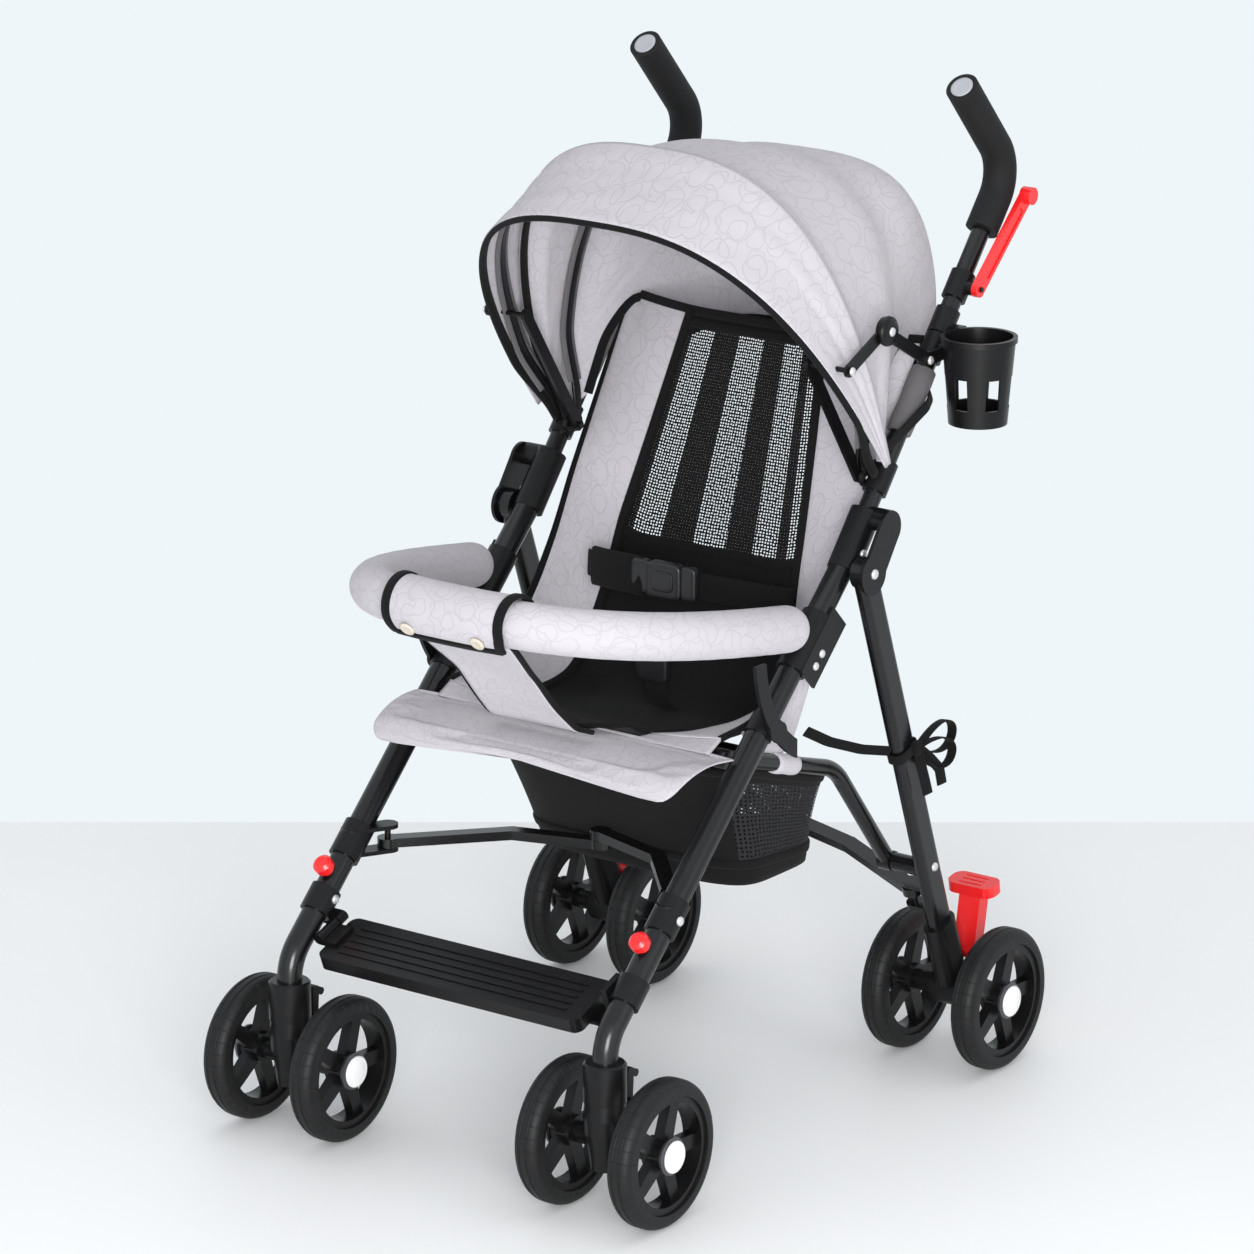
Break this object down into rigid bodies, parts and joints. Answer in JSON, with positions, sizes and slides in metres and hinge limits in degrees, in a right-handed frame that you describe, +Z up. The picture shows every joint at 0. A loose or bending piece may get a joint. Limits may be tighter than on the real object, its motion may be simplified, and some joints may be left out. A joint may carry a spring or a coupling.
{
  "type": "umbrella stroller",
  "caption": "Folding umbrella stroller with twin wheels on swivel casters, a sling seat with a padded bumper bar, a telescoping hood, a basket and a cup holder",
  "frame": {"origin": "on the ground, under the middle of the stroller's box", "axes": "+Z up, the child faces -Y, the child's left is +X"},
  "size_m": [0.5469, 0.7102, 0.9645],
  "materials": {
    "tube_black": "satin",
    "moulded_black": "satin",
    "grip_foam": "matte",
    "tyre_black": "matte",
    "rim_black": "satin",
    "axle_white": "gloss",
    "red_plastic": "satin",
    "grey_cloth": "matte",
    "seat_cloth": "matte",
    "black_cloth": "matte",
    "bow_black": "satin"
  },
  "bodies": {
    "right_frame": {"right_front_leg": "tube_black", "right_handle_tube": "tube_black", "right_grip": "grip_foam", "right_hinge_bracket": "moulded_black", "right_tube_clips": "moulded_black", "right_knob": "red_plastic", "hood_rear": "grey_cloth", "seat": "seat_cloth", "leg_rest": "grey_cloth", "bumper": "grey_cloth", "crotch_flap": "grey_cloth", "harness": "black_cloth", "basket": "black_cloth"},
    "left_frame": {"left_front_leg": "tube_black", "left_handle_tube": "tube_black", "left_grip": "grip_foam", "left_hinge_bracket": "moulded_black", "left_tube_clips": "moulded_black", "left_knob": "red_plastic", "cup_holder": "moulded_black"},
    "right_canopy": {"right_bow_arm": "moulded_black", "front_bow": "bow_black", "hood_front": "grey_cloth"},
    "left_canopy_arm": {"left_bow_arm": "moulded_black"},
    "mid_bow": {"mid_bow": "bow_black"},
    "footrest": {"footrest": "moulded_black"},
    "lock_lever": {"lock_lever": "red_plastic"},
    "left_rear_leg": {"left_rear_leg": "tube_black", "left_rear_hub": "moulded_black", "tie_ribbon": "black_cloth"},
    "left_rail": {"left_seat_rail": "tube_black"},
    "left_rear_link": {"left_rear_link": "tube_black"},
    "left_front_link": {"left_front_link": "tube_black"},
    "left_caster": {"left_fork": "moulded_black"},
    "left_front_wheels": {"left_front_tyres": "tyre_black", "left_front_rims": "rim_black", "left_front_axle": "axle_white"},
    "left_rear_wheels": {"left_rear_tyres": "tyre_black", "left_rear_rims": "rim_black", "left_rear_axle": "axle_white"},
    "left_swivel_lock": {"left_swivel_lock": "moulded_black"},
    "left_brake_pedal": {"left_brake_pedal": "red_plastic"},
    "left_stay_front": {"left_stay_front": "moulded_black"},
    "left_stay_back": {"left_stay_back": "moulded_black"},
    "right_rear_leg": {"right_rear_leg": "tube_black", "right_rear_hub": "moulded_black"},
    "right_rail": {"right_seat_rail": "tube_black"},
    "right_rear_link": {"right_rear_link": "tube_black"},
    "right_front_link": {"right_front_link": "tube_black"},
    "right_caster": {"right_fork": "moulded_black"},
    "right_front_wheels": {"right_front_tyres": "tyre_black", "right_front_rims": "rim_black", "right_front_axle": "axle_white"},
    "right_rear_wheels": {"right_rear_tyres": "tyre_black", "right_rear_rims": "rim_black", "right_rear_axle": "axle_white"},
    "right_swivel_lock": {"right_swivel_lock": "moulded_black"},
    "right_brake_pedal": {"right_brake_pedal": "red_plastic"},
    "right_stay_front": {"right_stay_front": "moulded_black"},
    "right_stay_back": {"right_stay_back": "moulded_black"}
  },
  "joints": [
    {"name": "umbrella_fold", "type": "slide", "parent": "right_frame", "child": "left_frame", "axis": [-1, 0, 0], "range_m": [0, 0.16], "deforming": ["seat", "leg_rest", "bumper", "crotch_flap", "harness", "basket", "hood_front", "hood_rear", "front_bow", "mid_bow"]},
    {"name": "left_rear_leg_fold", "type": "hinge", "parent": "left_frame", "child": "left_rear_leg", "pos_m": [0.2064, 0.08052, 0.527], "axis": [-1, 0, 0], "range_deg": [0, 46]},
    {"name": "left_rail_fold", "type": "hinge", "parent": "left_rear_leg", "child": "left_rail", "pos_m": [0.16, 0.19542, 0.20488], "axis": [-1, 0, 0], "range_deg": [0, 37]},
    {"name": "left_front_link_fold", "type": "hinge", "parent": "left_frame", "child": "left_front_link", "pos_m": [0.166, -0.16947, 0.262], "axis": [0, 0, -1], "range_deg": [0, 31]},
    {"name": "left_rear_link_fold", "type": "hinge", "parent": "left_rear_leg", "child": "left_rear_link", "pos_m": [0.1824, 0.20684, 0.17285], "axis": [0, 0.3359, -0.9419], "range_deg": [0, 43]},
    {"name": "left_caster_swivel", "type": "hinge", "parent": "left_frame", "child": "left_caster", "pos_m": [0.184, -0.29647, 0.09], "axis": [0, 0, 1], "continuous": true},
    {"name": "left_front_wheel_spin", "type": "hinge", "parent": "left_caster", "child": "left_front_wheels", "pos_m": [0.184, -0.28247, 0.07], "axis": [1, 0, 0], "continuous": true},
    {"name": "left_rear_wheel_spin", "type": "hinge", "parent": "left_rear_leg", "child": "left_rear_wheels", "pos_m": [0.2064, 0.24352, 0.07], "axis": [1, 0, 0], "continuous": true},
    {"name": "left_swivel_lock_flip", "type": "hinge", "parent": "left_caster", "child": "left_swivel_lock", "pos_m": [0.184, -0.26748, 0.103], "axis": [-1, 0, 0], "range_deg": [0, 25]},
    {"name": "left_brake_press", "type": "hinge", "parent": "left_rear_leg", "child": "left_brake_pedal", "pos_m": [0.2064, 0.26753, 0.102], "axis": [-1, 0, 0], "range_deg": [0, 22]},
    {"name": "left_stay_back_turn", "type": "hinge", "parent": "left_frame", "child": "left_stay_back", "pos_m": [0.203, 0.18552, 0.71], "axis": [-1, 0, 0], "range_deg": [0, 66]},
    {"name": "left_stay_front_turn", "type": "hinge", "parent": "left_canopy_arm", "child": "left_stay_front", "pos_m": [0.206, 0.04829, 0.72725], "axis": [1, 0, 0], "range_deg": [0, 68]},
    {"name": "right_rear_leg_fold", "type": "hinge", "parent": "right_frame", "child": "right_rear_leg", "pos_m": [-0.2064, 0.08052, 0.527], "axis": [-1, 0, 0], "range_deg": [0, 46]},
    {"name": "right_rail_fold", "type": "hinge", "parent": "right_rear_leg", "child": "right_rail", "pos_m": [-0.16, 0.19542, 0.20488], "axis": [-1, 0, 0], "range_deg": [0, 37]},
    {"name": "right_front_link_fold", "type": "hinge", "parent": "right_frame", "child": "right_front_link", "pos_m": [-0.166, -0.16947, 0.262], "axis": [0, 0, 1], "range_deg": [0, 31]},
    {"name": "right_rear_link_fold", "type": "hinge", "parent": "right_rear_leg", "child": "right_rear_link", "pos_m": [-0.1824, 0.20684, 0.17285], "axis": [0, -0.3359, 0.9419], "range_deg": [0, 43]},
    {"name": "right_caster_swivel", "type": "hinge", "parent": "right_frame", "child": "right_caster", "pos_m": [-0.184, -0.29647, 0.09], "axis": [0, 0, 1], "continuous": true},
    {"name": "right_front_wheel_spin", "type": "hinge", "parent": "right_caster", "child": "right_front_wheels", "pos_m": [-0.184, -0.28247, 0.07], "axis": [1, 0, 0], "continuous": true},
    {"name": "right_rear_wheel_spin", "type": "hinge", "parent": "right_rear_leg", "child": "right_rear_wheels", "pos_m": [-0.2064, 0.24352, 0.07], "axis": [1, 0, 0], "continuous": true},
    {"name": "right_swivel_lock_flip", "type": "hinge", "parent": "right_caster", "child": "right_swivel_lock", "pos_m": [-0.184, -0.26748, 0.103], "axis": [-1, 0, 0], "range_deg": [0, 25]},
    {"name": "right_brake_press", "type": "hinge", "parent": "right_rear_leg", "child": "right_brake_pedal", "pos_m": [-0.2064, 0.26753, 0.102], "axis": [-1, 0, 0], "range_deg": [0, 22]},
    {"name": "right_stay_back_turn", "type": "hinge", "parent": "right_frame", "child": "right_stay_back", "pos_m": [-0.203, 0.18552, 0.71], "axis": [-1, 0, 0], "range_deg": [0, 66]},
    {"name": "right_stay_front_turn", "type": "hinge", "parent": "right_canopy", "child": "right_stay_front", "pos_m": [-0.206, 0.04829, 0.72725], "axis": [1, 0, 0], "range_deg": [0, 68]},
    {"name": "canopy_fold", "type": "hinge", "parent": "right_frame", "child": "right_canopy", "pos_m": [0, 0.13053, 0.603], "axis": [-1, 0, 0], "range_deg": [0, 40]},
    {"name": "left_canopy_arm_turn", "type": "hinge", "parent": "left_frame", "child": "left_canopy_arm", "pos_m": [0.164, 0.13053, 0.603], "axis": [-1, 0, 0], "range_deg": [0, 41]},
    {"name": "mid_bow_turn", "type": "hinge", "parent": "right_frame", "child": "mid_bow", "pos_m": [0, 0.13053, 0.603], "axis": [-1, 0, 0], "range_deg": [0, 37]},
    {"name": "footrest_flip", "type": "hinge", "parent": "right_frame", "child": "footrest", "pos_m": [-0.166, -0.2618, 0.19307], "axis": [0, -0.9336, -0.3584], "range_deg": [0, 86]},
    {"name": "lock_lever_turn", "type": "hinge", "parent": "left_frame", "child": "lock_lever", "pos_m": [0.2, 0.26725, 0.76271], "axis": [-1, 0, 0], "range_deg": [0, 40]}
  ],
  "couplings": [
    {"joint": "left_rear_leg_fold", "follows": "umbrella_fold", "rad_per_m": 4.9087},
    {"joint": "left_rail_fold", "follows": "umbrella_fold", "rad_per_m": 3.9597},
    {"joint": "left_front_link_fold", "follows": "umbrella_fold", "rad_per_m": 3.327},
    {"joint": "left_rear_link_fold", "follows": "umbrella_fold", "rad_per_m": 4.4942},
    {"joint": "left_stay_back_turn", "follows": "canopy_fold", "ratio": 1.5675},
    {"joint": "left_stay_front_turn", "follows": "canopy_fold", "ratio": 1.6425},
    {"joint": "right_rear_leg_fold", "follows": "umbrella_fold", "rad_per_m": 4.9087},
    {"joint": "right_rail_fold", "follows": "umbrella_fold", "rad_per_m": 3.9597},
    {"joint": "right_front_link_fold", "follows": "umbrella_fold", "rad_per_m": 3.327},
    {"joint": "right_rear_link_fold", "follows": "umbrella_fold", "rad_per_m": 4.4942},
    {"joint": "right_stay_back_turn", "follows": "canopy_fold", "ratio": 1.5675},
    {"joint": "right_stay_front_turn", "follows": "canopy_fold", "ratio": 1.6425},
    {"joint": "left_canopy_arm_turn", "follows": "canopy_fold", "ratio": 1},
    {"joint": "mid_bow_turn", "follows": "canopy_fold", "ratio": 0.9},
    {"joint": "footrest_flip", "follows": "umbrella_fold", "rad_per_m": 9.2721}
  ]
}
